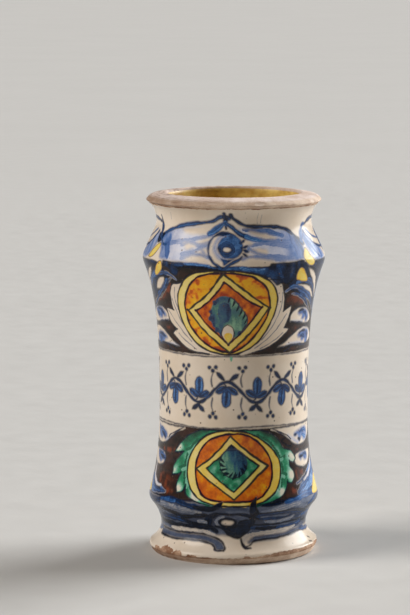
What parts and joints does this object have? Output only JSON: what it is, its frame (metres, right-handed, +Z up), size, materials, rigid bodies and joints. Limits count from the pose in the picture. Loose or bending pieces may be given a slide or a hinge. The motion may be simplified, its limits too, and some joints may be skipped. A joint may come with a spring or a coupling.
{
  "type": "albarello",
  "caption": "Waisted apothecary jar of tin-glazed earthenware with a flanged rim, ridged shoulder and belly, and spreading foot; stores dry drugs under a tied cover.",
  "frame": {"origin": "centre of the ring the jar stands on, on the table", "axes": "+Z up along the jar's axis, -Y towards the painted front"},
  "size_m": [0.1257, 0.1258, 0.2497],
  "materials": {
    "clay": "bare fired earthenware, matte and worn",
    "tin_glaze": "glossy white tin glaze painted in blue, yellow, orange, green and brown",
    "honey_glaze": "glossy honey-coloured lead glaze"
  },
  "bodies": {
    "root": {"clay_body": "clay", "outer_glaze": "tin_glaze", "inner_glaze": "honey_glaze"}
  },
  "joints": []
}
